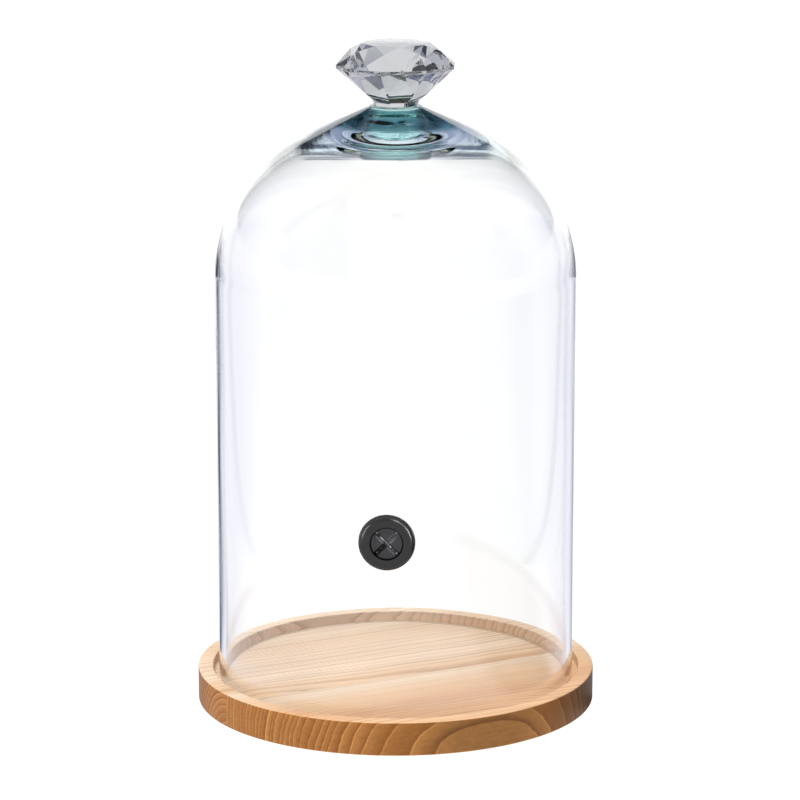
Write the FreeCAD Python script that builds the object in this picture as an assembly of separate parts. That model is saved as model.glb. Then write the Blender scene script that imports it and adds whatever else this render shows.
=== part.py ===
"""Smoking cloche: a blown glass bell dome with a faceted crystal knob and a silicone smoke port, on an ash
board with a turned recess.

Millimetres, +Z up. The origin is the centre of the board's underside. The smoke port faces -Y. The dome and
everything fixed to it lift off together along +Z. The port's four flaps hinge inwards, into the dome.
"""

import FreeCAD, Part
import math
import os

Vector = FreeCAD.Vector
Z_AXIS = Vector(0, 0, 1)
ORIGIN = Vector(0, 0, 0)

# Board: two ash staves glued edge to edge, turned to a disc with a recess that locates the dome.
board_radius = 100.0
board_thickness = 17.0
rim_width = 7.5
recess_depth = 4.5
rim_outer_easing = 0.9
rim_inner_easing = 0.6
grain_angle = 30.0
glue_line_offset = -10.5

# Glass dome: a straight wall, a round shoulder, and a shallow cone up to a small flat boss.
dome_radius = 89.5
wall_thickness = 3.0
shoulder_start = 216.4
shoulder_radius = 77.4
shoulder_turn = 65.2
boss_radius = 12.5
boss_easing = 1.0
foot_easing = 1.2

# Inside of the dome: its own shoulder, then a nearly flat ceiling with a thick glass button at the middle.
inner_shoulder_start = 219.5
inner_shoulder_radius = 66.0
button_radius = 19.0
button_drop = 5.0
button_easing = 2.5

# Crystal knob: a brilliant cut with eight-fold facets, standing on a short eight-sided foot.
knob_sides = 8
knob_height = 30.6
crown_height = 10.5
girdle_height = 1.5
foot_height = 2.5
girdle_radius = 29.5
table_radius = 17.0
crown_break_radius = 22.8
pavilion_break_radius = 16.5
foot_top_apothem = 11.0
foot_bottom_apothem = 10.3
knob_turn = 11.0
bond_radius = 9.6
bond_thickness = 0.3

# Smoke port: a silicone grommet snapped into a round hole in the wall, closed by a cross-slit membrane.
port_height = 104.0
port_hole_radius = 10.6
neck_radius = 10.5
front_flange_radius = 13.7
front_flange_stand = 3.4
front_flange_easing = 1.5
rear_flange_radius = 12.4
rear_flange_stand = 2.2
rear_flange_easing = 0.8
port_recess_radius = 8.0
port_recess_depth = 1.1
port_bore_radius = 8.3
membrane_thickness = 1.5

# Flaps: the membrane's cross slits part four triangles, with a V groove along both slits. The triangles'
# sharp base corners are left on the fixed part, as small square gussets at the slits' ends.
flap_reach = 5.6
flap_gap = 0.1
flap_corner_cut = 0.8
slit_width = 0.3
groove_width = 2.7
groove_depth = 1.2
flap_turns = {"top": 0.0, "right": 90.0, "bottom": 180.0, "left": 270.0}

# How far the cutting shapes run past the surfaces they cut, and how close two places count as one.
overrun = 1.0
groove_overrun = 0.5
drill_inside = 10.0
drill_outside = 5.0
flange_parting = 0.5
same_place = 1e-6

# Places that follow from the dimensions above.
recess_radius = board_radius - rim_width
recess_floor = board_thickness - recess_depth
shoulder_end_angle = math.radians(shoulder_turn)
cone_slope = math.tan(math.radians(90.0 - shoulder_turn))
shoulder_end_radius = dome_radius - shoulder_radius * (1.0 - math.cos(shoulder_end_angle))
shoulder_end_height = shoulder_start + shoulder_radius * math.sin(shoulder_end_angle)
boss_top = shoulder_end_height + (shoulder_end_radius - boss_radius) * cone_slope
knob_bottom = boss_top + bond_thickness
inner_radius = dome_radius - wall_thickness
ceiling_radius = inner_radius - inner_shoulder_radius
ceiling_height = inner_shoulder_start + inner_shoulder_radius
membrane_front = front_flange_stand - port_recess_depth
membrane_back = membrane_front - membrane_thickness
flap_base = flap_reach - flap_gap
slit_half_run = slit_width / math.sqrt(2.0)
flap_half_base = flap_base - slit_half_run - flap_corner_cut


def line(start, end):
    return Part.LineSegment(start, end).toShape()


def arc(start, middle, end):
    return Part.Arc(start, middle, end).toShape()


def profile_point(radius, height):
    return Vector(radius, 0, height)


def round_corner(centre, radius, from_degrees, to_degrees):
    """A quarter-round or part of one in the XZ half-plane, as its edge and its two end points."""
    angles = (from_degrees, (from_degrees + to_degrees) / 2.0, to_degrees)
    points = []
    for angle in angles:
        turn = math.radians(angle)
        points.append(centre + Vector(radius * math.cos(turn), 0, radius * math.sin(turn)))
    return arc(*points), points[0], points[-1]


def turned(edges):
    """The solid that a closed outline in the XZ half-plane sweeps in one turn about Z."""
    outline = Part.Wire(Part.__sortEdges__(edges))
    return Part.Face(outline).revolve(ORIGIN, Z_AXIS, 360.0)


def chain(points):
    """Straight edges through the points in order, leaving out steps of no length."""
    edges = []
    for start, end in zip(points, points[1:]):
        if (end - start).Length > same_place:
            edges.append(line(start, end))
    return edges


def whole_board():
    """The turned disc: flat underside, eased corners, a rim and a flat recess floor."""
    ease = rim_outer_easing
    lower_corner, lower_start, lower_end = round_corner(
        profile_point(board_radius - ease, ease), ease, -90.0, 0.0)
    upper_corner, upper_start, upper_end = round_corner(
        profile_point(board_radius - ease, board_thickness - ease), ease, 0.0, 90.0)
    inner_ease = rim_inner_easing
    lip_corner, lip_start, lip_end = round_corner(
        profile_point(recess_radius + inner_ease, board_thickness - inner_ease), inner_ease, 90.0, 180.0)
    edges = [lower_corner, upper_corner, lip_corner]
    edges += chain([profile_point(0, 0), lower_start])
    edges += chain([lower_end, upper_start])
    edges += chain([upper_end, lip_start])
    edges += chain([lip_end, profile_point(recess_radius, recess_floor),
                    profile_point(0, recess_floor), profile_point(0, 0)])
    return turned(edges)


def stave(side):
    """One of the two staves: side +1 is the rear one and -1 the front one, either side of the glue line."""
    block_length = 2.2 * board_radius
    block_width = 1.5 * board_radius
    block_height = 2.0 * board_thickness
    half = Part.makeBox(block_length, block_width, block_height,
                        Vector(-block_length / 2.0, 0, -board_thickness / 2.0))
    if side < 0:
        half.rotate(ORIGIN, Vector(1, 0, 0), 180.0)
        half.translate(Vector(0, 0, board_thickness))
    half.translate(Vector(0, glue_line_offset, 0))
    half.rotate(ORIGIN, Z_AXIS, grain_angle)
    return whole_board().common(half)


def dome_outside():
    """Edges of the outer surface, from the foot up to the middle of the boss."""
    ease = foot_easing
    foot, foot_start, foot_end = round_corner(
        profile_point(dome_radius - ease, recess_floor + ease), ease, -90.0, 0.0)
    half_turn = shoulder_end_angle / 2.0
    centre_radius = dome_radius - shoulder_radius
    shoulder_foot = profile_point(dome_radius, shoulder_start)
    shoulder_middle = profile_point(centre_radius + shoulder_radius * math.cos(half_turn),
                                    shoulder_start + shoulder_radius * math.sin(half_turn))
    shoulder_end = profile_point(shoulder_end_radius, shoulder_end_height)

    # The boss's edge is a round that meets both the cone and the flat top.
    cone_tilt = 90.0 - shoulder_turn
    run_in = boss_easing * math.tan(math.radians(cone_tilt) / 2.0)
    boss_round, boss_start, boss_end = round_corner(
        profile_point(boss_radius - run_in, boss_top - boss_easing), boss_easing, 90.0 - cone_tilt, 90.0)
    edges = [foot, boss_round, arc(shoulder_foot, shoulder_middle, shoulder_end)]
    edges += chain([foot_end, shoulder_foot])
    edges += chain([shoulder_end, boss_start])
    edges += chain([boss_end, profile_point(0, boss_top)])
    return edges, foot_start


def dome_inside():
    """Edges of the inner surface, from the foot up to the middle of the ceiling."""
    ease = foot_easing
    foot, foot_outer, foot_inner = round_corner(
        profile_point(inner_radius + ease, recess_floor + ease), ease, -90.0, -180.0)
    shoulder, shoulder_foot, shoulder_end = round_corner(
        profile_point(ceiling_radius, inner_shoulder_start), inner_shoulder_radius, 0.0, 90.0)

    # The button hangs below the ceiling, with a rounded lower edge.
    lower = ceiling_height - button_drop
    button, button_side, button_face = round_corner(
        profile_point(button_radius - button_easing, lower + button_easing), button_easing, 0.0, -90.0)
    edges = [foot, shoulder, button]
    edges += chain([foot_inner, shoulder_foot])
    edges += chain([shoulder_end, profile_point(button_radius, ceiling_height), button_side])
    edges += chain([button_face, profile_point(0, lower), profile_point(0, boss_top)])
    return edges, foot_outer


def dome_blank():
    """The dome before the port hole is drilled."""
    outside, foot_start = dome_outside()
    inside, foot_outer = dome_inside()
    return turned(outside + inside + chain([foot_start, foot_outer]))


def port_cylinder(radius, stand_from, stand_to):
    """A cylinder on the port's axis, between two distances outwards from the glass."""
    start = Vector(0, -(dome_radius + stand_from), port_height)
    return Part.makeCylinder(radius, stand_to - stand_from, start, Vector(0, -1, 0))


def glass_dome():
    drill = port_cylinder(port_hole_radius, -drill_inside, drill_outside)
    return dome_blank().cut(drill)


def rounded_disc(radius, stand_from, stand_to, easing, round_far_end):
    """A port disc with one rounded rim, at its outer end or at its inner end."""
    disc = port_cylinder(radius, stand_from, stand_to)
    rim_place = -(dome_radius + (stand_to if round_far_end else stand_from))
    rims = []
    for edge in disc.Edges:
        on_rim = isinstance(edge.Curve, Part.Circle) and abs(edge.Curve.Center.y - rim_place) < same_place
        if on_rim:
            rims.append(edge)
    return disc.makeFillet(easing, rims)


def groove_cutters():
    """The two V grooves that cross at the middle of the membrane, one along each slit."""
    half_width = groove_width / 2.0
    face = -(dome_radius + membrane_front)
    reach = port_recess_radius
    outside = face - groove_overrun
    corners = [Vector(-reach, outside, half_width), Vector(-reach, outside, -half_width),
               Vector(-reach, face, -half_width), Vector(-reach, face + groove_depth, 0),
               Vector(-reach, face, half_width)]
    section = Part.Face(Part.makePolygon(corners + [corners[0]]))
    groove = section.extrude(Vector(2.0 * reach, 0, 0))
    cutters = []
    for turn in (45.0, -45.0):
        cutter = groove.copy()
        cutter.rotate(ORIGIN, Vector(0, 1, 0), turn)
        cutter.translate(Vector(0, 0, port_height))
        cutters.append(cutter)
    return cutters


def port_box(half_width, half_height, stand_from, stand_to):
    """A block centred on the port's axis."""
    return Part.makeBox(2.0 * half_width, stand_to - stand_from, 2.0 * half_height,
                        Vector(-half_width, -(dome_radius + stand_to), port_height - half_height))


def port_grommet():
    """Both flanges, the neck, and the part of the membrane that the slits leave fixed."""
    in_glass = -wall_thickness / 2.0
    rear_end = -wall_thickness - rear_flange_stand
    front = rounded_disc(front_flange_radius, in_glass, front_flange_stand, front_flange_easing, True)
    rear = rounded_disc(rear_flange_radius, rear_end, in_glass - flange_parting, rear_flange_easing, False)
    neck = port_cylinder(neck_radius, rear_end, front_flange_stand)
    body = front.cut(dome_blank()).fuse(rear.cut(dome_blank())).fuse(neck)
    body = body.cut(port_cylinder(port_recess_radius, membrane_front, front_flange_stand + overrun))
    body = body.cut(port_cylinder(port_bore_radius, rear_end - overrun, membrane_back))
    across = flap_half_base + flap_gap
    for half_width, half_height in ((flap_reach, across), (across, flap_reach)):
        body = body.cut(port_box(half_width, half_height, membrane_back - overrun, membrane_front + overrun))
    for cutter in groove_cutters():
        body = body.cut(cutter)
    return body.removeSplitter()


def port_flap(turn):
    """One triangle of the membrane, made as the top flap and turned about the port's axis."""
    back = -(dome_radius + membrane_back)
    shoulder = flap_half_base + slit_half_run
    corners = [Vector(0, back, slit_half_run),
               Vector(flap_half_base, back, shoulder), Vector(flap_half_base, back, flap_base),
               Vector(-flap_half_base, back, flap_base), Vector(-flap_half_base, back, shoulder)]
    blank = Part.Face(Part.makePolygon(corners + [corners[0]])).extrude(Vector(0, -membrane_thickness, 0))
    blank.rotate(ORIGIN, Vector(0, 1, 0), turn)
    blank.translate(Vector(0, 0, port_height))
    for cutter in groove_cutters():
        blank = blank.cut(cutter)
    return blank


def ring(radius, height, count, first_angle):
    """Points spread evenly round a level circle."""
    points = []
    for index in range(count):
        angle = math.radians(first_angle + 360.0 * index / count)
        points.append(Vector(radius * math.cos(angle), radius * math.sin(angle), height))
    return points


def flat_solid(faces):
    """A closed solid from flat faces, each given as its corners in order."""
    made = [Part.Face(Part.makePolygon(corners + [corners[0]])) for corners in faces]
    solid = Part.Solid(Part.Shell(made))
    if solid.Volume < 0:
        solid.reverse()
    return solid


def crystal_knob():
    """Table, stars, kites and upper girdle facets above; lower girdle facets, mains and foot below."""
    step = 360.0 / knob_sides
    lean = math.cos(math.radians(step / 2.0))
    foot_top = knob_bottom + foot_height
    girdle_top = knob_bottom + knob_height - crown_height
    girdle_bottom = girdle_top - girdle_height
    table_top = knob_bottom + knob_height

    # The kites are flat, so the crown's break lies where the kite's plane passes.
    crown_fall = crown_height / (girdle_radius - table_radius)
    crown_break = table_top - (crown_break_radius * lean - table_radius) * crown_fall
    pavilion_fall = (girdle_bottom - foot_top) / (girdle_radius - foot_top_apothem)
    pavilion_break = girdle_bottom - (girdle_radius - pavilion_break_radius * lean) * pavilion_fall

    half_step = knob_turn + step / 2.0
    table = ring(table_radius, table_top, knob_sides, knob_turn)
    breaks = ring(crown_break_radius, crown_break, knob_sides, half_step)
    upper = ring(girdle_radius, girdle_top, 2 * knob_sides, knob_turn)
    lower = ring(girdle_radius, girdle_bottom, 2 * knob_sides, knob_turn)
    knees = ring(pavilion_break_radius, pavilion_break, knob_sides, half_step)
    foot_upper = ring(foot_top_apothem / lean, foot_top, knob_sides, half_step)
    foot_lower = ring(foot_bottom_apothem / lean, knob_bottom, knob_sides, half_step)

    faces = [table, foot_lower[::-1]]
    for i in range(knob_sides):
        before = i - 1
        after = (i + 1) % knob_sides
        here = 2 * i
        between = 2 * i + 1
        onward = (2 * i + 2) % (2 * knob_sides)
        faces.append([table[i], breaks[i], table[after]])
        faces.append([table[i], breaks[before], upper[here], breaks[i]])
        faces.append([breaks[i], upper[here], upper[between]])
        faces.append([breaks[i], upper[between], upper[onward]])
        faces.append([upper[here], lower[here], lower[between], upper[between]])
        faces.append([upper[between], lower[between], lower[onward], upper[onward]])
        faces.append([lower[here], knees[i], lower[between]])
        faces.append([lower[between], knees[i], lower[onward]])
        faces.append([lower[here], knees[before], foot_upper[before], foot_upper[i], knees[i]])
        faces.append([foot_upper[before], foot_lower[before], foot_lower[i], foot_upper[i]])
    return flat_solid(faces)


def knob_bond():
    """The thin clear layer of adhesive between the boss and the knob's foot."""
    return Part.makeCylinder(bond_radius, bond_thickness, Vector(0, 0, boss_top), Z_AXIS)


def main():
    os.makedirs("parts", exist_ok=True)
    nodes = {
        "base_rear_stave": stave(1),
        "base_front_stave": stave(-1),
        "glass_dome": glass_dome(),
        "knob_bond": knob_bond(),
        "crystal_knob": crystal_knob(),
        "port_grommet": port_grommet(),
    }
    for name, turn in flap_turns.items():
        nodes["port_flap_" + name] = port_flap(turn)
    for name, shape in nodes.items():
        box = shape.BoundBox
        print(f"{name:18s} solids {len(shape.Solids)} valid {shape.isValid()} volume {shape.Volume:11.1f}"
              f"  x {box.XMin:7.2f} {box.XMax:7.2f}  y {box.YMin:7.2f} {box.YMax:7.2f}"
              f"  z {box.ZMin:7.2f} {box.ZMax:7.2f}")
        shape.exportStep("parts/" + name + ".step")


main()
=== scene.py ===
"""Smoking cloche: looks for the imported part. Metres, +Z up, in the part's own frame."""

import math
import random

import bmesh
import bpy
from mathutils import Matrix, Vector, noise


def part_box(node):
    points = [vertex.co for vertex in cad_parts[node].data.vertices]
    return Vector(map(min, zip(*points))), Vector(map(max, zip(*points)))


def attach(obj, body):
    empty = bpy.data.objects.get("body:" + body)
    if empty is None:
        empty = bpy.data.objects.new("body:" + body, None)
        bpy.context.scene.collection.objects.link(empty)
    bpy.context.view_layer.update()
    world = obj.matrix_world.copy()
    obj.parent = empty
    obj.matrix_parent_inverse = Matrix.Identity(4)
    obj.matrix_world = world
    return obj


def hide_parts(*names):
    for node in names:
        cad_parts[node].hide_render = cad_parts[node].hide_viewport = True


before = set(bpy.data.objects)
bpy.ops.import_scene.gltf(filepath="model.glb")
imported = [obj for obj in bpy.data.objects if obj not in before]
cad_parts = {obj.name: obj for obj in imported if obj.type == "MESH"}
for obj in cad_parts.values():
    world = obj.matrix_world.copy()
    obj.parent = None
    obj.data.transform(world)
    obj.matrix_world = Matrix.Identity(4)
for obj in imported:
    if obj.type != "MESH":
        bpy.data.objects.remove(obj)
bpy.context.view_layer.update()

MM = 0.001

# Camera: a long lens, a little above the knob, turned slightly to the left of the port.
CAMERA_DISTANCE = 1.7518
CAMERA_HEIGHT = 0.5583
CAMERA_TURN = 2.7
CAMERA_PITCH = 13.02
CAMERA_LENS = 162.0
SENSOR_WIDTH = 36.0
AIM_TO_THE_RIGHT = 0.0022

# Board, from the frame, and its turned details.
BOARD_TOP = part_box("base_rear_stave")[1].z
BOARD_RADIUS = 100.0 * MM
RIM_WIDTH = 7.5 * MM
OUTER_EASING = 0.9 * MM
INNER_EASING = 0.6 * MM
GRAIN_ANGLE = 30.0
GLUE_LINE = -10.5 * MM

# Dome, from the frame, and its profile.
DOME_LOW, DOME_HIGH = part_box("glass_dome")
FOOT = DOME_LOW.z
BOSS_TOP = DOME_HIGH.z
OUTER = DOME_HIGH.x
WALL = 3.0 * MM
FOOT_EASING = 1.2 * MM
SHOULDER = 216.4 * MM
SHOULDER_RADIUS = 77.4 * MM
SHOULDER_TURN = 65.2
BOSS_RADIUS = 12.5 * MM
BOSS_EASING = 1.0 * MM
INNER_SHOULDER = 219.5 * MM
INNER_SHOULDER_RADIUS = 66.0 * MM
BUTTON_RADIUS = 17.5 * MM
BUTTON_DROP = 5.0 * MM
BUTTON_EASING = 2.5 * MM
BUTTON_FILLET = 1.0 * MM
WAVE_DEPTH = 0.09 * MM
WAVE_HEIGHT = 50.0 * MM
WAVE_STARTS = 20.0 * MM

# Port, from the frame, and its profile.
PORT_HOLE = 10.6 * MM
PORT_RECESS = 8.0 * MM
LIP_RADIUS = 13.7 * MM
LIP_STAND = 3.4 * MM
LIP_EASING = 1.5 * MM
LIP_ROUND = 2.8 * MM
FLAP_REACH = 5.6 * MM
GROOVE_HALF = 1.35 * MM
SLIT_HALF_RUN = 0.3 * MM / math.sqrt(2)
SLIT_CLOSING = 0.18 * MM
HINGE_OVERLAP = 0.08 * MM
PORT_HEIGHT = (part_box("port_grommet")[0].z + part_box("port_grommet")[1].z) / 2.0

# Ash, as it is drawn. Lengths are in millimetres.
RING_WANDER = 12.0
RING_WAVER = 1.8
RING_LEAN = 0.018
YEAR_SPREAD = 1.7
TONES_WIDTH = 184.0
RIPPLE_GAP = 3.3
RIPPLE_DEPTH = 0.035
EDGE_STARTS = 93.0
EDGE_FULL = 95.0
GLUE_LINE_HALF = 0.22
CONTACT_SHADE_HALF = 0.7

# Crown, as it is drawn.
TINT_REACH = 60.0 * MM
TINT_FADES = BOSS_TOP - 20.0 * MM
TINT_ENDS = BOSS_TOP - 27.0 * MM
FOOT_LINE_FADES = BOSS_TOP - 30.0 * MM
FOOT_LINE_ENDS = BOSS_TOP - 33.0 * MM
FOOT_LINE_ASIDE = 55.0 * MM
FOOT_LINE_AHEAD = 43.5 * MM
SEED_COUNT = 34
SEED_REACH = 30.0 * MM

# Stage.
WHITE = (1.0, 1.0, 1.0, 1.0)
STUDIO_BRIGHTNESS = 1.1
PANEL_WIDTH = 0.25
FLOOR_HALF = 8.0
FLOOR_DROP = 0.2 * MM
FANS_FADE = 1.5
FANS_END = 2.1
CARD_BLACK = (0.01, 0.01, 0.012, 1.0)


# ---------------------------------------------------------------- camera
def add_camera():
    turn = math.radians(CAMERA_TURN)
    sight = Vector((-math.sin(turn), math.cos(turn), 0.0))
    right = Vector((math.cos(turn), math.sin(turn), 0.0))
    place = Vector((0, 0, CAMERA_HEIGHT)) - sight * CAMERA_DISTANCE
    fall = CAMERA_DISTANCE * math.tan(math.radians(CAMERA_PITCH))
    aim = Vector((0, 0, CAMERA_HEIGHT - fall)) + right * AIM_TO_THE_RIGHT
    data = bpy.data.cameras.new("camera")
    data.lens = CAMERA_LENS
    data.sensor_width = SENSOR_WIDTH
    camera = bpy.data.objects.new("camera", data)
    camera.location = place
    camera.rotation_mode = "QUATERNION"
    camera.rotation_quaternion = (aim - place).to_track_quat("-Z", "Y")
    bpy.context.scene.collection.objects.link(camera)
    bpy.context.scene.camera = camera


# ---------------------------------------------------------------- node helpers
def display(red, green, blue):
    """A colour given as it looks on a screen, 0 to 255, as linear light for a shader."""
    def linear(value):
        value = value / 255.0
        return value / 12.92 if value <= 0.04045 else ((value + 0.055) / 1.055) ** 2.4
    return (linear(red), linear(green), linear(blue), 1.0)


class Net:
    """Builds a node tree. Inputs are numbers, tuples or other nodes' outputs."""

    def __init__(self, tree):
        self.tree = tree
        tree.nodes.clear()

    def feed(self, socket, value):
        if isinstance(value, bpy.types.NodeSocket):
            self.tree.links.new(value, socket)
        else:
            socket.default_value = value

    def add(self, kind, inputs=None, **settings):
        node = self.tree.nodes.new("ShaderNode" + kind)
        for key, value in settings.items():
            setattr(node, key, value)
        for key, value in (inputs or {}).items():
            self.feed(node.inputs[key], value)
        return node

    def math(self, operation, first, second=0.0, third=0.0):
        return self.add("Math", {0: first, 1: second, 2: third}, operation=operation).outputs[0]

    def size(self, value):
        return self.math("ABSOLUTE", value)

    def times(self, *values):
        """The product of two or more numbers."""
        product = values[0]
        for value in values[1:]:
            product = self.math("MULTIPLY", product, value)
        return product

    def part(self, vector, axis):
        """One part of a vector: 0, 1 or 2 for X, Y or Z."""
        return self.add("SeparateXYZ", {0: vector}).outputs[axis]

    def vector(self, operation, first, second=(0, 0, 0)):
        node = self.add("VectorMath", {0: first, 1: second}, operation=operation)
        return node.outputs["Value" if operation in ("LENGTH", "DOT_PRODUCT") else "Vector"]

    def stretch(self, vector, scale, move=(0, 0, 0), turn=0.0):
        inputs = {"Vector": vector, "Scale": scale, "Location": move, "Rotation": (0, 0, math.radians(turn))}
        return self.add("Mapping", inputs).outputs[0]

    def noise(self, vector, scale, move=0.0, detail=3.0, roughness=0.5):
        """Cloud noise about 0, from roughly -0.5 to 0.5, with its own scale along each axis."""
        vector = self.stretch(vector, scale, (move, 0.7 * move, 1.3 * move))
        inputs = {"Vector": vector, "Scale": 1.0, "Detail": detail, "Roughness": roughness}
        return self.math("SUBTRACT", self.add("TexNoise", inputs).outputs[0], 0.5)

    def step(self, value, start, end, low=0.0, high=1.0):
        """Runs smoothly from low to high while value runs from start to end."""
        inputs = {"Value": value, "From Min": start, "From Max": end, "To Min": low, "To Max": high}
        return self.add("MapRange", inputs, interpolation_type="SMOOTHSTEP").outputs[0]

    def ramp(self, value, stops):
        """A smooth colour ramp from (place, grey) or (place, colour) stops."""
        node = self.add("ValToRGB", {0: value})
        node.color_ramp.interpolation = "EASE"
        elements = node.color_ramp.elements
        while len(elements) < len(stops):
            elements.new(0.5)
        for element, (place, shade) in zip(elements, stops):
            element.position = place
            element.color = shade if isinstance(shade, tuple) else (shade, shade, shade, 1.0)
        return node.outputs[0]

    def mix(self, factor, first, second, blend="MIX"):
        node = self.add("Mix", {0: factor}, data_type="RGBA", blend_type=blend)
        self.feed(node.inputs[6], first)
        self.feed(node.inputs[7], second)
        return node.outputs[2]

    def brighten(self, colour, factor):
        """The colour times a grey factor."""
        grey = self.add("CombineColor", {0: factor, 1: factor, 2: factor}).outputs[0]
        return self.mix(1.0, colour, grey, "MULTIPLY")

    def solid(self, colour, roughness, bump, gloss):
        """Ends the tree in an opaque surface."""
        surface = self.add("BsdfPrincipled", {"Base Color": colour, "Roughness": roughness,
                                              "Normal": bump.outputs[0], "Specular IOR Level": gloss})
        self.add("OutputMaterial", {"Surface": surface.outputs[0]})


def new_material(name):
    material = bpy.data.materials.new(name)
    material.use_nodes = True
    return material, Net(material.node_tree)


# ---------------------------------------------------------------- materials
def wood_material(name, pith, ring_power, ring_gap, tones, seed):
    """Ash with growth rings about a pith line. Lengths inside are millimetres in the grain's own frame."""
    material, net = new_material(name)
    coords = net.add("TexCoord")
    grain = net.stretch(coords.outputs["Object"], (1 / MM, 1 / MM, 1 / MM), turn=-GRAIN_ANGLE)
    parts = net.add("SeparateXYZ", {0: grain})
    along, across, up = parts.outputs[0], parts.outputs[1], parts.outputs[2]

    # Distance from the pith, wandering a little along the board.
    from_pith = net.vector("MULTIPLY", net.vector("SUBTRACT", grain, (0, pith[0], pith[1])), (0, 1, 1))
    radius = net.vector("LENGTH", from_pith)
    radius = net.math("MULTIPLY_ADD", net.noise(grain, (0.006, 0.015, 0.015), seed, 2), RING_WANDER, radius)
    radius = net.math("MULTIPLY_ADD", net.noise(grain, (0.02, 0.10, 0.10), seed + 3, 3), RING_WAVER, radius)
    radius = net.math("MULTIPLY_ADD", along, RING_LEAN, radius)

    # Years of uneven width. Each ring starts with a dark line of early wood, stronger in some years.
    phase = net.math("DIVIDE", net.math("POWER", radius, ring_power), ring_gap)
    spread = net.add("TexNoise", {"W": phase, "Scale": 0.4, "Detail": 1.0}, noise_dimensions="1D").outputs[0]
    phase = net.math("MULTIPLY_ADD", net.math("SUBTRACT", spread, 0.5), YEAR_SPREAD, phase)
    through = net.math("FRACT", phase)
    year = net.add("TexWhiteNoise", {"W": net.math("FLOOR", phase)}, noise_dimensions="1D").outputs[0]
    early_line = net.ramp(through, [
        (0.0, 1.0), (0.12, 0.7), (0.4, 0.16), (0.8, 0.0), (0.94, 0.1), (1.0, 1.0)])
    line = net.times(early_line, net.math("MULTIPLY_ADD", year, 0.7, 0.25))

    # Flat faces: a pale ground in broad bands, tan ring lines and fine fibres.
    place = net.math("MULTIPLY_ADD", across, 1 / TONES_WIDTH, 0.5)
    place = net.math("MULTIPLY_ADD", net.noise(grain, (0.008, 0.03, 0.03), seed + 7, 2), 0.10, place)
    flat = net.mix(net.times(line, 0.85), net.ramp(place, tones), display(196, 140, 92))
    fibre = net.noise(grain, (0.010, 0.9, 0.9), seed + 11, 4, 0.6)
    cloud = net.noise(grain, (0.02, 0.05, 0.05), seed + 13, 2)
    light = net.math("MULTIPLY_ADD", cloud, 0.205, 1.025)
    flat = net.brighten(flat, net.math("MULTIPLY_ADD", fibre, 0.39, light))

    # A ripple figure across the grain at the left of the rear stave.
    turns = net.times(along, 2 * math.pi / RIPPLE_GAP)
    turns = net.math("MULTIPLY_ADD", net.noise(grain, (0.05, 0.12, 0.12), seed + 17, 2), 9.0, turns)
    where = net.times(net.step(along, -92.0, -45.0), net.step(along, 12.0, -22.0),
                      net.step(across, -12.0, 8.0))
    ripple = net.times(net.math("SINE", turns), where)
    flat = net.brighten(flat, net.math("MULTIPLY_ADD", ripple, RIPPLE_DEPTH, 1.0))

    # Turned edge: browner and darker, the brown its own colour and the darkness partly painted shade, with
    # pale lines where the fibres are cut across. The recess's own wall takes only a part of it.
    normal = net.stretch(coords.outputs["Normal"], (1, 1, 1), turn=-GRAIN_ANGLE)
    end = net.size(net.part(normal, 0))
    from_axis = net.vector("LENGTH", net.vector("MULTIPLY", grain, (1, 1, 0)))
    upright = net.times(net.step(net.size(net.part(normal, 2)), 0.75, 0.35),
                        net.step(from_axis, EDGE_STARTS, EDGE_FULL, 0.3, 1.0))
    band = net.ramp(through, [(0.0, 0.05), (0.3, 0.24), (0.7, 0.42), (0.86, 0.50), (0.93, 1.0), (1.0, 0.05)])
    band = net.times(band, net.math("MULTIPLY_ADD", year, 0.5, 0.6))
    cut = net.mix(band, display(152, 92, 36), display(224, 160, 92))
    slab = net.mix(net.times(line, 0.8), display(170, 116, 62), display(88, 50, 23))
    edge = net.mix(net.step(end, 0.12, 0.45), slab, cut)
    mottle = net.noise(grain, (0.25, 0.5, 0.5), seed + 19, 4, 0.6)
    light = net.math("MULTIPLY_ADD", fibre, 0.35, 1.0)
    edge = net.brighten(edge, net.math("MULTIPLY_ADD", mottle, 0.6, light))

    # Both ends of the edge are painted darker, as shade, the right one more so.
    aside = net.times(net.part(coords.outputs["Object"], 0), 1 / MM)
    aside = net.math("MULTIPLY_ADD", mottle, 8.0, aside)
    painted_end_shade = net.math("ADD", net.step(aside, 68.0, 97.0, 0.0, 0.68),
                        net.step(aside, -88.0, -100.0, 0.0, 0.3))
    edge = net.mix(painted_end_shade, edge, display(66, 46, 30))
    colour = net.mix(upright, flat, edge)

    # Open pores, thickest in the early wood, a dark line of painted shade where the glass stands, and the
    # glue line.
    pores = net.noise(grain, (0.13, 2.4, 2.4), seed + 23, 2, 0.5)
    pores = net.times(net.step(pores, 0.10, 0.2), net.math("MULTIPLY_ADD", early_line, 0.7, 0.15))
    colour = net.mix(net.times(pores, 0.45), colour, display(120, 78, 46))
    # A thin ring of painted shade at the glass's foot.
    painted_contact_shade = net.size(net.math("SUBTRACT", from_axis, (OUTER - WALL) / MM))
    painted_contact_shade = net.times(net.step(painted_contact_shade, CONTACT_SHADE_HALF, 0.3), net.step(up, 14.0, 13.0))
    colour = net.mix(net.times(painted_contact_shade, 0.55), colour, display(128, 88, 54))
    glue = net.step(net.size(net.math("SUBTRACT", across, GLUE_LINE / MM)), GLUE_LINE_HALF, 0.08)
    colour = net.mix(net.times(glue, 0.35), colour, display(140, 96, 60))

    roughness = net.math("MULTIPLY_ADD", mottle, 0.12, net.math("MULTIPLY_ADD", upright, 0.10, 0.44))
    height = net.math("SUBTRACT", net.times(fibre, 0.5), pores)
    bump = net.add("Bump", {"Strength": 0.35, "Distance": 0.00012, "Height": height})
    gloss = net.math("MULTIPLY_ADD", upright, -0.2, 0.4)
    net.solid(colour, roughness, bump, gloss)
    return material


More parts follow.
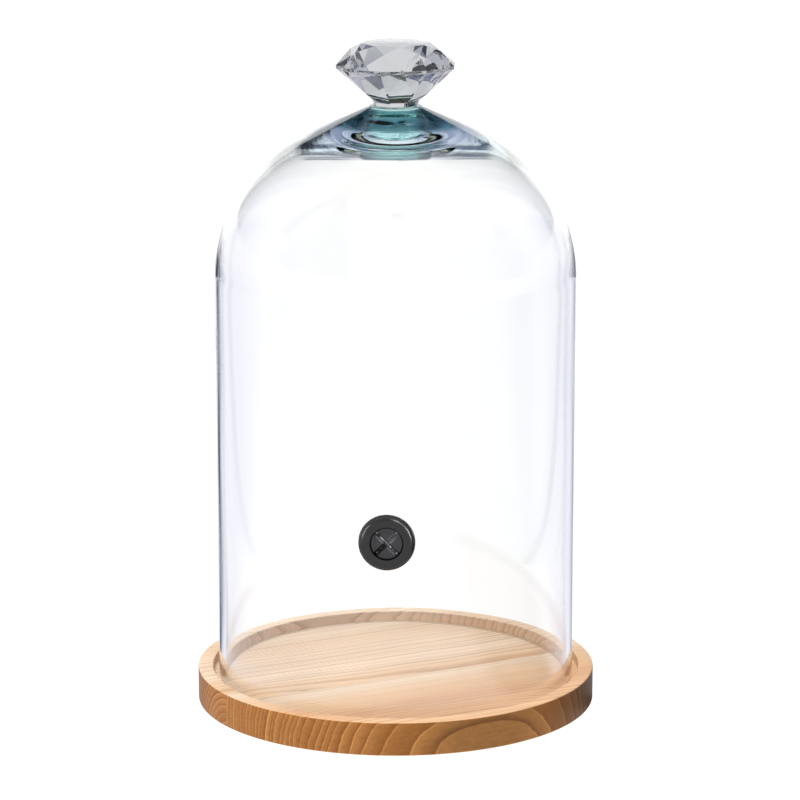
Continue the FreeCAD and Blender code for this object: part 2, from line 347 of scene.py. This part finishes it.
def crown_tint(net):
    """White down the wall, and the glass's own blue-green where it is thick. It is deepest in a ring about
    the boss, whose slate and lavender are partly painted shade, and in a painted dark pool to each side of
    it, and a painted slate wash runs out from there to a painted dark line at the crown's foot. The pools,
    the wash and the line are painted shade: they stand in for what the real crown shows by refraction."""
    spot = net.add("TexCoord").outputs["Object"]
    height = net.part(spot, 2)
    aside = net.size(net.part(spot, 0))
    radius = net.vector("LENGTH", net.vector("MULTIPLY", spot, (1, 1, 0)))
    ring = net.ramp(net.math("DIVIDE", radius, TINT_REACH), [
        (0.21, display(200, 244, 236)), (0.27, display(66, 124, 130)), (0.42, display(56, 98, 112)),
        (0.50, display(120, 158, 174)), (0.60, display(212, 218, 232)), (0.74, WHITE)])
    # A painted dark pool of shade to each side of the boss.
    painted_dark_pool = net.times(net.step(aside, 8 * MM, 15 * MM), net.step(aside, 28 * MM, 20 * MM),
                     net.step(radius, 35 * MM, 27 * MM))
    tint = net.mix(net.times(painted_dark_pool, 0.92), ring, display(18, 38, 48))
    tint = net.mix(net.step(height, TINT_ENDS, TINT_FADES), WHITE, tint)

    # The painted dark foot line follows an oval, and is 1 there in this measure. The wash within it is
    # painted shade too.
    oval = net.vector("LENGTH", net.vector("MULTIPLY", spot, (1 / FOOT_LINE_ASIDE, 1 / FOOT_LINE_AHEAD, 0)))
    within = net.times(net.step(oval, 1.0, 0.98), net.step(aside, 9 * MM, 17 * MM))
    painted_wash = net.times(within, net.step(aside, 54 * MM, 24 * MM, 0.0, 0.7))
    line = net.times(within, net.step(oval, 0.88, 0.93), net.step(aside, 16 * MM, 34 * MM, 0.0, 0.95),
                     net.step(aside, 50 * MM, 44 * MM))
    tint = net.mix(painted_wash, tint, net.mix(1.0, tint, display(176, 178, 204), "MULTIPLY"))
    tint = net.mix(line, tint, display(28, 38, 66))
    return net.mix(net.step(height, FOOT_LINE_ENDS, FOOT_LINE_FADES), WHITE, tint)


def glass_material(name, depth_colour, depth_density, ior, roughness, tint, clear=1.0):
    """Clear or cloudy glass, tinted by its thickness, that lets light through to what stands behind it. The
    tint is a colour, or a function that makes one."""
    material, net = new_material(name)
    tint = tint(net) if callable(tint) else tint
    surface = net.add("BsdfPrincipled", {"Base Color": tint, "Roughness": roughness, "IOR": ior,
                                         "Transmission Weight": clear})
    see = net.add("BsdfTransparent")
    shadow = net.add("LightPath").outputs["Is Shadow Ray"]
    mix = net.add("MixShader", {0: shadow, 1: surface.outputs[0], 2: see.outputs[0]})
    depth = net.add("VolumeAbsorption", {"Color": depth_colour, "Density": depth_density})
    net.add("OutputMaterial", {"Surface": mix.outputs[0], "Volume": depth.outputs[0]})
    return material


def silicone_material(name):
    """Moulded black silicone: a faint mottle, a soft sheen and painted shade in the crease round the port's
    recess.
    """
    material, net = new_material(name)
    spot = net.add("TexCoord").outputs["Object"]
    cloud = net.noise(spot, (180, 180, 180), 1.0, 3)
    grit = net.noise(spot, (2600, 2600, 2600), 4.0, 3, 0.6)
    centred = net.vector("MULTIPLY", net.vector("SUBTRACT", spot, (0, 0, PORT_HEIGHT)), (1, 0, 1))
    radius = net.math("DIVIDE", net.vector("LENGTH", centred), PORT_RECESS)
    # The crease round the recess is painted dark, as shade.
    painted_crease_shade = net.times(net.step(radius, 0.90, 0.96), net.step(radius, 1.03, 1.0))
    colour = net.mix(net.step(radius, 1.0, 0.97), display(44, 44, 45), display(60, 60, 62))
    colour = net.mix(painted_crease_shade, colour, display(5, 5, 6))

    # The grooves along the slits: the rising slit's upper arm is paler, as painted light, and its lower arm
    # darker, as painted shade, and the other slit's lips have pale glints of painted highlight.
    slant = math.sqrt(0.5)
    up_right = net.math("DIVIDE", net.vector("DOT_PRODUCT", centred, (slant, 0, slant)), GROOVE_HALF)
    up_left = net.math("DIVIDE", net.vector("DOT_PRODUCT", centred, (-slant, 0, slant)), GROOVE_HALF)
    inside = net.step(radius, 0.93, 0.88)
    arm = net.times(net.step(net.size(up_left), 1.05, 0.95), inside)
    pale = net.times(arm, net.step(up_right, 0.4, 1.2))
    shaded = net.times(arm, net.step(up_right, -0.4, -1.0))
    colour = net.mix(pale, colour, display(96, 96, 98))
    colour = net.mix(shaded, colour, display(36, 36, 37))
    broken = net.step(net.noise(spot, (700, 700, 700), 9.0, 2), -0.08, 0.06)
    painted_glint = net.times(net.step(net.size(up_right), 0.26, 0.14), net.step(net.size(up_left), 4.0, 2.6),
                      broken, inside)
    colour = net.mix(painted_glint, colour, display(225, 225, 228))
    colour = net.brighten(colour, net.math("MULTIPLY_ADD", cloud, 0.5, 1.0))
    roughness = net.math("MULTIPLY_ADD", cloud, 0.12, net.math("MULTIPLY_ADD", grit, 0.08, 0.24))
    # Painted shade in the crease and in the lower groove arm also takes the sheen down.
    gloss = net.math("MULTIPLY_ADD", net.math("MAXIMUM", painted_crease_shade, shaded), -0.26, 0.30)
    bump = net.add("Bump", {"Strength": 0.25, "Distance": 0.00005, "Height": grit})
    net.solid(colour, roughness, bump, gloss)
    return material


# ---------------------------------------------------------------- mesh helpers
def new_piece(name, material, body, slot, *replaced):
    mesh = bpy.data.meshes.new(name)
    piece = bpy.data.objects.new(name, mesh)
    bpy.context.scene.collection.objects.link(piece)
    mesh.materials.append(material)
    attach(piece, body)
    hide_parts(*replaced)
    return piece


def finish_mesh(shape, piece, sharp_degrees=40.0):
    """Writes the bmesh to the piece, smooth except at edges sharper than the angle given."""
    for face in shape.faces:
        face.smooth = True
    shape.to_mesh(piece.data)
    shape.free()
    piece.data.set_sharp_from_angle(angle=math.radians(sharp_degrees))


def lathe(outline, turns, wobble=None):
    """A bmesh that sweeps (radius, height) points round Z. Points on the axis close the shape."""
    shape = bmesh.new()
    rings = []
    for radius, height in outline:
        if radius < 1e-7:
            rings.append([shape.verts.new((0, 0, height))])
            continue
        ring = []
        for k in range(turns):
            angle = 2 * math.pi * k / turns
            out, rise = wobble(radius, angle, height) if wobble else (radius, height)
            ring.append(shape.verts.new((out * math.cos(angle), out * math.sin(angle), rise)))
        rings.append(ring)
    for low, high in zip(rings, rings[1:]):
        for k in range(turns):
            after = (k + 1) % turns
            corners = [low[k % len(low)], low[after % len(low)], high[after % len(high)], high[k % len(high)]]
            shape.faces.new(list(dict.fromkeys(corners)))
    bmesh.ops.recalc_face_normals(shape, faces=shape.faces)
    return shape


def arc_points(centre, radius, start, end, count):
    points = []
    for k in range(count + 1):
        angle = math.radians(start + (end - start) * k / count)
        points.append((centre[0] + radius * math.cos(angle), centre[1] + radius * math.sin(angle)))
    return points


def run_points(start, end, count):
    """Evenly spaced points between two ends, leaving out the ends themselves."""
    points = []
    for k in range(1, count):
        part = k / count
        points.append((start[0] + (end[0] - start[0]) * part, start[1] + (end[1] - start[1]) * part))
    return points


# ---------------------------------------------------------------- board
def build_staves(rear_wood, front_wood):
    ease = OUTER_EASING
    recess = BOARD_RADIUS - RIM_WIDTH
    outline = [(0, 0)] + arc_points((BOARD_RADIUS - ease, ease), ease, -90, 0, 6)
    outline += arc_points((BOARD_RADIUS - ease, BOARD_TOP - ease), ease, 0, 90, 6)
    outline += arc_points((recess + INNER_EASING, BOARD_TOP - INNER_EASING), INNER_EASING, 90, 180, 5)
    outline += [(recess, FOOT), (0, FOOT)]
    turn = math.radians(GRAIN_ANGLE)
    across = Vector((-math.sin(turn), math.cos(turn), 0))
    for side, wood, name, node in ((1, rear_wood, "rear_stave", "base_rear_stave"),
                                   (-1, front_wood, "front_stave", "base_front_stave")):
        piece = new_piece(name, wood, "board", "ash", node)
        shape = lathe(outline, 360)
        cut = bmesh.ops.bisect_plane(shape, geom=shape.verts[:] + shape.edges[:] + shape.faces[:], dist=1e-7,
                                     plane_co=across * GLUE_LINE, plane_no=across * side, clear_inner=True)
        seam = [item for item in cut["geom_cut"] if isinstance(item, bmesh.types.BMEdge)]
        bmesh.ops.contextual_create(shape, geom=seam)
        finish_mesh(shape, piece, 35.0)


# ---------------------------------------------------------------- dome
def outside_points():
    points = arc_points((OUTER - FOOT_EASING, FOOT + FOOT_EASING), FOOT_EASING, -90, 0, 6)
    points += run_points(points[-1], (OUTER, SHOULDER), 52)
    points += arc_points((OUTER - SHOULDER_RADIUS, SHOULDER), SHOULDER_RADIUS, 0, SHOULDER_TURN, 56)
    lean = 90 - SHOULDER_TURN
    run_in = BOSS_EASING * math.tan(math.radians(lean / 2))
    boss = arc_points((BOSS_RADIUS - run_in, BOSS_TOP - BOSS_EASING), BOSS_EASING, lean, 90, 6)
    points += run_points(points[-1], boss[0], 16)
    points += boss
    return points + run_points(boss[-1], (0, BOSS_TOP), 5) + [(0, BOSS_TOP)]


def inside_points():
    inner = OUTER - WALL
    ceiling = INNER_SHOULDER + INNER_SHOULDER_RADIUS
    lower = ceiling - BUTTON_DROP
    points = arc_points((inner + FOOT_EASING, FOOT + FOOT_EASING), FOOT_EASING, -90, -180, 6)
    points += run_points(points[-1], (inner, INNER_SHOULDER), 52)
    points += arc_points((inner - INNER_SHOULDER_RADIUS, INNER_SHOULDER), INNER_SHOULDER_RADIUS, 0, 90, 72)
    points += arc_points((BUTTON_RADIUS + BUTTON_FILLET, ceiling - BUTTON_FILLET), BUTTON_FILLET, 90, 180, 6)
    points += arc_points((BUTTON_RADIUS - BUTTON_EASING, lower + BUTTON_EASING), BUTTON_EASING, 0, -90, 12)
    return points + run_points(points[-1], (0, lower), 8) + [(0, lower)]


def blown(radius, angle, height):
    """Hand-blown unevenness of the inner surface: faint waves down the wall, more about the button."""
    on_outside = radius > OUTER - WALL + 0.1 * MM or height > BOSS_TOP - 1.5 * MM
    if on_outside:
        return radius, height
    spot = Vector((2.0 * math.cos(angle), 2.0 * math.sin(angle), height / WAVE_HEIGHT))
    out = WAVE_DEPTH * noise.noise(spot) * min(1.0, (height - FOOT) / WAVE_STARTS)
    near = 0.0
    if height > INNER_SHOULDER + 40 * MM:
        near = max(0.0, 1.0 - radius / (1.6 * BUTTON_RADIUS))
    out += near * radius * (0.016 * math.cos(2 * angle + 0.7) + 0.008 * math.cos(3 * angle - 1.1))
    rise = near * MM * (0.25 * math.cos(2 * angle + 2.0) + 0.12 * math.cos(3 * angle + 0.4))
    return radius + out, height + rise


def crown_glass(radius):
    """Lowest and highest glass at a distance from the axis, under the cone."""
    slope = math.tan(math.radians(90 - SHOULDER_TURN))
    ceiling = INNER_SHOULDER + INNER_SHOULDER_RADIUS
    top = BOSS_TOP - max(0.0, radius - BOSS_RADIUS) * slope
    return (ceiling - BUTTON_DROP if radius < BUTTON_RADIUS - BUTTON_EASING else ceiling), top


def add_seeds(shape):
    """Small trapped bubbles in the thick glass of the crown, as closed hollows facing inwards."""
    chance = random.Random(5)
    for _ in range(SEED_COUNT):
        radius = SEED_REACH * math.sqrt(chance.random())
        angle = 2 * math.pi * chance.random()
        low, high = crown_glass(radius)
        height = low + (high - low) * (0.2 + 0.6 * chance.random())
        size = MM * (0.10 + 0.22 * chance.random() ** 2)
        place = Matrix.Translation((radius * math.cos(angle), radius * math.sin(angle), height))
        made = bmesh.ops.create_icosphere(shape, subdivisions=2, radius=size, matrix=place)
        faces = {face for vertex in made["verts"] for face in vertex.link_faces}
        bmesh.ops.reverse_faces(shape, faces=list(faces))


def drill_port(piece):
    """Cuts the port's round hole through the front wall."""
    mesh = bpy.data.meshes.new("port_drill")
    drill = bpy.data.objects.new("port_drill", mesh)
    bpy.context.scene.collection.objects.link(drill)
    shape = bmesh.new()
    place = Matrix.Translation((0, -OUTER, PORT_HEIGHT)) @ Matrix.Rotation(math.pi / 2, 4, "X")
    bmesh.ops.create_cone(shape, cap_ends=True, segments=96, radius1=PORT_HOLE, radius2=PORT_HOLE,
                          depth=20 * MM, matrix=place)
    shape.to_mesh(mesh)
    shape.free()
    cut = piece.modifiers.new("port", "BOOLEAN")
    cut.operation = "DIFFERENCE"
    cut.solver = "EXACT"
    cut.object = drill
    bpy.context.view_layer.update()
    made = bpy.data.meshes.new_from_object(piece.evaluated_get(bpy.context.evaluated_depsgraph_get()))
    piece.modifiers.clear()
    piece.data = made
    bpy.data.objects.remove(drill)


def build_dome(material):
    piece = new_piece("dome_glass", material, "dome", "clear_glass", "glass_dome")
    shape = lathe(inside_points()[::-1] + outside_points(), 256, blown)
    finish_mesh(shape, piece)
    drill_port(piece)
    shape = bmesh.new()
    shape.from_mesh(piece.data)
    add_seeds(shape)
    finish_mesh(shape, piece)


# ---------------------------------------------------------------- pieces that start from their CAD shape
def refined(name, node, material, body, slot, bevel, sharp_degrees, segments=2, mould=None):
    """The node's own shape with its flat faces made whole and its sharp edges softly rounded."""
    piece = new_piece(name, material, body, slot, node)
    shape = bmesh.new()
    shape.from_mesh(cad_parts[node].data)
    bmesh.ops.remove_doubles(shape, verts=shape.verts, dist=1e-6)
    bmesh.ops.dissolve_limit(shape, angle_limit=math.radians(0.5), verts=shape.verts, edges=shape.edges)
    if mould:
        for vertex in shape.verts:
            mould(vertex.co)
    sharp = []
    for edge in shape.edges:
        if edge.is_manifold and edge.calc_face_angle() > math.radians(sharp_degrees):
            sharp.append(edge)
    bmesh.ops.bevel(shape, geom=sharp, offset=bevel, segments=segments, profile=0.5, affect="EDGES",
                    clamp_overlap=True)
    finish_mesh(shape, piece, sharp_degrees * 0.8)
    return piece


def shape_moulding(point):
    """Draws the moulding's opening in to the flaps' bases, where the real silicone is unbroken, and gives its
    front lip a fuller round."""
    for axis, middle in ((0, 0.0), (2, PORT_HEIGHT)):
        away = point[axis] - middle
        if abs(abs(away) - FLAP_REACH) < 0.02 * MM:
            point[axis] = middle + math.copysign(FLAP_REACH - HINGE_OVERLAP, away)
    across = Vector((point.x, 0, point.z - PORT_HEIGHT))
    out = across.length - (LIP_RADIUS - LIP_EASING)
    stand = -point.y - OUTER - (LIP_STAND - LIP_EASING)
    if out > -0.01 * MM and stand > -0.01 * MM:
        turn = math.atan2(max(out, 0.0), max(stand, 0.0))
        across.length = LIP_RADIUS - LIP_ROUND * (1 - math.sin(turn))
        point.x = across.x
        point.y = -OUTER - (LIP_STAND - LIP_ROUND * (1 - math.cos(turn)))
        point.z = PORT_HEIGHT + across.z


def close_slits(turn):
    """Draws a flap's slit edges towards its neighbours', where the real slits are shut."""
    out = Vector((math.sin(turn), 0, math.cos(turn)))
    across = Vector((math.cos(turn), 0, -math.sin(turn)))

    def close(point):
        place = point - Vector((0, 0, PORT_HEIGHT))
        away = place.dot(out)
        beside = abs(place.dot(across))
        if abs(away - beside - SLIT_HALF_RUN) < 0.03 * MM:
            point -= out * SLIT_CLOSING
    return close


# ---------------------------------------------------------------- stage
# The floor's greys by direction, as a part of a whole turn, with 0.5 straight behind the dome.
PALE = (0.84, 0.84, 0.91, 1.0)
LAVENDER = (0.78, 0.78, 0.86, 1.0)
FAINT = (0.80, 0.80, 0.86, 1.0)
FAINTER = (0.87, 0.87, 0.92, 1.0)
FAINTEST = (0.94, 0.94, 0.97, 1.0)
SHADY = (0.14, 0.135, 0.15, 1.0)
LEFT_CARD = (0.05, 0.07, 0.11, 1.0)
RIGHT_CARD = (0.38, 0.39, 0.46, 1.0)
LEFT_FAN = [(0.0, WHITE), (0.06, PALE), (0.38, PALE), (0.418, (0.66, 0.66, 0.76, 1.0)), (0.428, LEFT_CARD),
            (0.442, LEFT_CARD), (0.452, LAVENDER), (0.468, FAINT), (0.477, FAINTER), (0.485, FAINTEST),
            (0.4925, WHITE)]
RIGHT_FAN = [(0.4925, WHITE), (0.50, FAINTEST), (0.508, FAINTER), (0.520, FAINT), (0.532, RIGHT_CARD),
             (0.545, RIGHT_CARD), (0.556, LAVENDER), (0.62, PALE), (0.70, PALE), (0.77, SHADY),
             (0.90, SHADY), (0.95, PALE), (1.0, WHITE)]


def build_floor():
    """A white floor. By reflection and through the glass it is shaded near the dome in two fans, one from
    each side, each with a narrow dark card that draws the wall's edge."""
    mesh = bpy.data.meshes.new("floor")
    half = FLOOR_HALF
    corners = [(-half, -half, 0), (half, -half, 0), (half, half, 0), (-half, half, 0)]
    mesh.from_pydata(corners, [], [(0, 1, 2, 3)])
    floor = bpy.data.objects.new("floor", mesh)
    floor.location = (0, 0, -FLOOR_DROP)
    bpy.context.scene.collection.objects.link(floor)
    material, net = new_material("floor_white")
    spot = net.add("TexCoord").outputs["Object"]
    fans = []
    for start, stops in ((OUTER, LEFT_FAN), (-OUTER, RIGHT_FAN)):
        turn = net.math("ARCTAN2", net.math("ADD", net.part(spot, 0), start), net.part(spot, 1))
        fans.append(net.ramp(net.math("MULTIPLY_ADD", turn, 0.5 / math.pi, 0.5), stops))
    shade = net.mix(1.0, fans[0], fans[1], "MULTIPLY")
    shade = net.mix(net.step(net.vector("LENGTH", spot), FANS_FADE, FANS_END), shade, WHITE)
    seen = net.add("LightPath").outputs["Is Camera Ray"]
    surface = net.add("Emission", {"Color": net.mix(seen, shade, WHITE), "Strength": STUDIO_BRIGHTNESS})
    net.add("OutputMaterial", {"Surface": surface.outputs[0]})
    mesh.materials.append(material)


def area_light(name, place, aim, width, height, power, only_in_gloss):
    """A soft panel. It either lights the piece without being seen, or is only seen by reflection."""
    data = bpy.data.lights.new(name, "AREA")
    data.shape = "RECTANGLE"
    data.size = width
    data.size_y = height
    data.energy = power
    light = bpy.data.objects.new(name, data)
    light.location = place
    light.rotation_mode = "QUATERNION"
    light.rotation_quaternion = (Vector(aim) - Vector(place)).to_track_quat("-Z", "Y")
    light.visible_transmission = False
    light.visible_glossy = only_in_gloss
    light.visible_diffuse = not only_in_gloss
    bpy.context.scene.collection.objects.link(light)
    return light


def add_highlights(pieces):
    """Three panels in front of the dome that only draw highlights on the pieces given."""
    group = bpy.data.collections.new("highlit")
    for piece in pieces:
        group.objects.link(piece)
    for name, place, height, power in (("panel_left", (-0.75, -0.75, 0.28), 0.55, 6.0),
                                       ("panel_right", (0.70, -0.80, 0.28), 0.55, 12.0),
                                       ("panel_high", (0.40, -0.85, 0.80), 0.40, 8.0)):
        light = area_light(name, place, (0, -OUTER, PORT_HEIGHT), PANEL_WIDTH, height, power, True)
        light.light_linking.receiver_collection = group


def build_world():
    """A studio above the floor, seen only by reflection and through glass: a white backdrop that is highest
    straight behind, over it a dark blue-grey room that turns pale lavender to the sides, and a bright
    ceiling."""
    world = bpy.data.worlds.new("studio")
    bpy.context.scene.world = world
    world.use_nodes = True
    net = Net(world.node_tree)
    way = net.add("TexCoord").outputs["Generated"]
    rise = net.part(way, 2)
    turn = net.math("DIVIDE", net.math("ARCTAN2", net.part(way, 0), net.part(way, 1)), 2 * math.pi)
    aside = net.size(turn)
    room = net.ramp(aside, [
        (0.0, (0.015, 0.026, 0.034, 1)), (0.098, (0.025, 0.036, 0.05, 1)), (0.118, (0.31, 0.34, 0.45, 1)),
        (0.15, (0.58, 0.59, 0.70, 1)), (0.19, (0.78, 0.78, 0.86, 1)), (0.27, (0.84, 0.84, 0.90, 1)),
        (0.36, (0.45, 0.45, 0.50, 1)), (0.5, (0.30, 0.30, 0.33, 1))])
    backdrop_top = net.step(aside, 0.06, 0.10, 0.31, 0.10)
    shade = net.mix(net.step(net.math("SUBTRACT", rise, backdrop_top), 0.0, 0.05), WHITE, room)
    shade = net.mix(net.step(rise, 0.84, 0.93), shade, WHITE)

    # One dim corner, at the front on the right.
    corner = net.ramp(net.math("ADD", turn, 0.5), [(0.70, 1.0), (0.77, 0.15), (0.90, 0.15), (0.96, 1.0)])
    shade = net.mix(net.step(rise, 0.75, 0.45), shade, net.mix(1.0, shade, corner, "MULTIPLY"))

    # A black card at each side and one overhead draw the crystal's facets. They show only through two
    # surfaces.
    path = net.add("LightPath")
    side_card = net.times(net.math("COMPARE", aside, 0.256, 0.014), net.step(rise, 0.42, 0.48))
    cards = net.math("MAXIMUM", side_card, net.step(rise, 0.84, 0.90))
    cards = net.times(cards, net.math("COMPARE", path.outputs["Transmission Depth"], 2.0, 0.5))
    shade = net.mix(cards, shade, CARD_BLACK)
    colour = net.mix(path.outputs["Is Camera Ray"], shade, WHITE)
    back = net.add("Background", {"Color": colour, "Strength": STUDIO_BRIGHTNESS})
    net.add("OutputWorld", {"Surface": back.outputs[0]})


def let_light_through():
    """Enough bounces for light that is caught inside the thick glass and the crystal."""
    cycles = bpy.context.scene.cycles
    cycles.max_bounces = 32
    cycles.glossy_bounces = 24
    cycles.transmission_bounces = 32


# ---------------------------------------------------------------- assembly
bpy.context.scene.view_settings.view_transform = "Standard"
let_light_through()
add_camera()
build_world()
build_floor()
area_light("top_soft", place=(-0.4, -0.3, 1.6), aim=(0, 0, 0.1), width=1.0, height=1.0, power=20.0,
           only_in_gloss=False)

REAR_TONES = [(0.40, display(236, 196, 152)), (0.48, display(240, 203, 164)), (0.6, display(247, 219, 188)),
              (0.75, display(246, 216, 184)), (0.85, display(242, 210, 176)), (0.95, display(252, 226, 198))]
FRONT_TONES = [(0.05, display(247, 200, 154)), (0.20, display(232, 180, 136)), (0.30, display(240, 198, 154)),
               (0.37, display(243, 206, 168)), (0.41, display(248, 222, 192)), (0.44, display(248, 222, 192))]
rear_ash = wood_material("ash_rear", pith=(-15.0, -13.0), ring_power=1.0, ring_gap=3.4, tones=REAR_TONES,
                         seed=2.0)
front_ash = wood_material("ash_front", pith=(-131.0, -5.0), ring_power=2.0, ring_gap=405.0,
                          tones=FRONT_TONES, seed=31.0)
glass = glass_material("clear_glass", depth_colour=(0.30, 0.82, 0.88, 1.0), depth_density=2.5, ior=1.5,
                       roughness=0.0, tint=crown_tint)
# The crystal's grey tint is painted shade, for the grey that the clear crystal takes from its surroundings.
crystal = glass_material("cut_crystal", depth_colour=(0.77, 0.78, 0.79, 1.0), depth_density=16.0, ior=1.56,
                         roughness=0.0, tint=display(216, 217, 219))
adhesive = glass_material("clear_adhesive", depth_colour=(0.9, 0.9, 0.88, 1.0), depth_density=5.0, ior=1.48,
                          roughness=0.25, tint=display(236, 244, 243), clear=0.35)
silicone = silicone_material("black_silicone")

build_staves(rear_ash, front_ash)
build_dome(glass)
refined("cut_knob", "crystal_knob", crystal, "dome", "crystal", bevel=0.16 * MM, sharp_degrees=3.0)
refined("glue_film", "knob_bond", adhesive, "dome", "clear_adhesive", bevel=0.08 * MM, sharp_degrees=30.0)
port_pieces = [refined("port_moulding", "port_grommet", silicone, "dome", "black_silicone",
                       bevel=0.14 * MM, sharp_degrees=28.0, segments=3, mould=shape_moulding)]
for quarter, side in enumerate(("top", "right", "bottom", "left")):
    port_pieces.append(refined("slit_flap_" + side, "port_flap_" + side, silicone, "flap_" + side,
                               "black_silicone", bevel=0.06 * MM, sharp_degrees=20.0, segments=3,
                               mould=close_slits(quarter * math.pi / 2)))
add_highlights(port_pieces)
